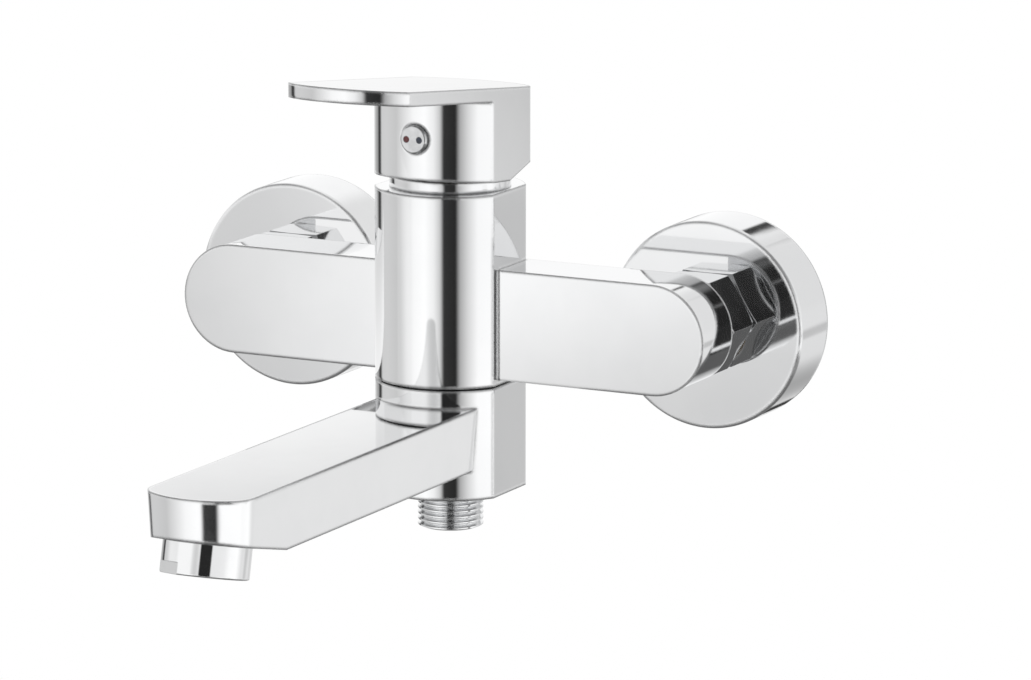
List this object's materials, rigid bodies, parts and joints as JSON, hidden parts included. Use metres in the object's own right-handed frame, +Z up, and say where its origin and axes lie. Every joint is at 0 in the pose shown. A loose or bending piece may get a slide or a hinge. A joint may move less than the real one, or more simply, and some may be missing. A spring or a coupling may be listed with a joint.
{
  "type": "wall mounted bath faucet",
  "caption": "Wall mounted bath faucet: flat bar body on round wall plates, single lever on top, swivelling block with flat spout and threaded hose outlet.",
  "frame": {"origin": "on the wall face, midway between the two inlet axes", "axes": "+X to the right of a user who faces the faucet, +Y into the wall, +Z up"},
  "size_m": [0.217, 0.2373, 0.1524],
  "materials": {
    "chrome": "polished chrome plate",
    "threaded_chrome": "chrome plate on a cut thread",
    "brass": "machined brass",
    "cartridge_plastic": "glass filled plastic, matt",
    "ceramic": "lapped alumina",
    "seal_rubber": "matt black rubber",
    "glide_plastic": "black slip ring, satin",
    "steel": "stainless steel",
    "stem_brass": "bright brass",
    "white_plastic": "white moulded plastic",
    "hot_red": "red enamel",
    "cold_blue": "dark blue enamel"
  },
  "bodies": {
    "valve": {"valve_body": "chrome", "dome_collar": "chrome", "cartridge_retaining_nut": "brass", "cartridge_housing": "cartridge_plastic", "cartridge_base": "cartridge_plastic", "cartridge_base_seals": "seal_rubber", "fixed_ceramic_disc": "ceramic", "wall_union_left": "brass", "wall_union_right": "brass", "union_nut_left": "chrome", "union_nut_right": "chrome", "inlet_nipple_left": "brass", "inlet_nipple_right": "brass", "filter_washer_left": "seal_rubber", "filter_washer_right": "seal_rubber", "escutcheon_left": "chrome", "escutcheon_right": "chrome", "swivel_retaining_screw": "steel", "diverter_core": "brass", "diverter_core_seal": "seal_rubber"},
    "rotor": {"cartridge_rotor": "cartridge_plastic", "lever_pin": "steel"},
    "disc": {"moving_ceramic_disc": "ceramic", "disc_carrier": "cartridge_plastic"},
    "lever": {"lever_stem": "stem_brass", "handle": "chrome", "handle_set_screw": "steel", "index_button": "chrome", "hot_mark": "hot_red", "cold_mark": "cold_blue"},
    "spout": {"spout_body": "chrome", "swivel_seal": "seal_rubber", "swivel_glide_ring": "glide_plastic", "hose_nipple": "threaded_chrome", "check_valve_body": "white_plastic", "check_valve_spring": "steel", "aerator_housing": "chrome", "aerator_insert": "white_plastic", "aerator_screen": "steel", "aerator_gasket": "seal_rubber"},
    "poppet": {"check_valve_poppet": "white_plastic"}
  },
  "joints": [
    {"name": "handle_turn", "type": "hinge", "parent": "valve", "child": "rotor", "pos_m": [0, -0.0513, 0.04], "axis": [0, 0, 1], "range_deg": [-50, 50]},
    {"name": "lever_lift", "type": "hinge", "parent": "rotor", "child": "lever", "pos_m": [0, -0.0513, 0.04], "axis": [-1, 0, 0], "range_deg": [0, 20]},
    {"name": "disc_slide", "type": "slide", "parent": "rotor", "child": "disc", "axis": [0, -1, 0], "range_m": [0, 0.00549]},
    {"name": "spout_swivel", "type": "hinge", "parent": "valve", "child": "spout", "pos_m": [0, -0.0513, -0.0193], "axis": [0, 0, 1], "range_deg": [-60, 60]},
    {"name": "check_valve_open", "type": "slide", "parent": "spout", "child": "poppet", "axis": [0, 0, -1], "range_m": [0, 0.003], "stiffness_N_per_m": 150, "springref_m": -0.004, "deforming": ["check_valve_spring"]}
  ],
  "couplings": [
    {"joint": "disc_slide", "follows": "lever_lift", "m_per_rad": 0.015432}
  ]
}
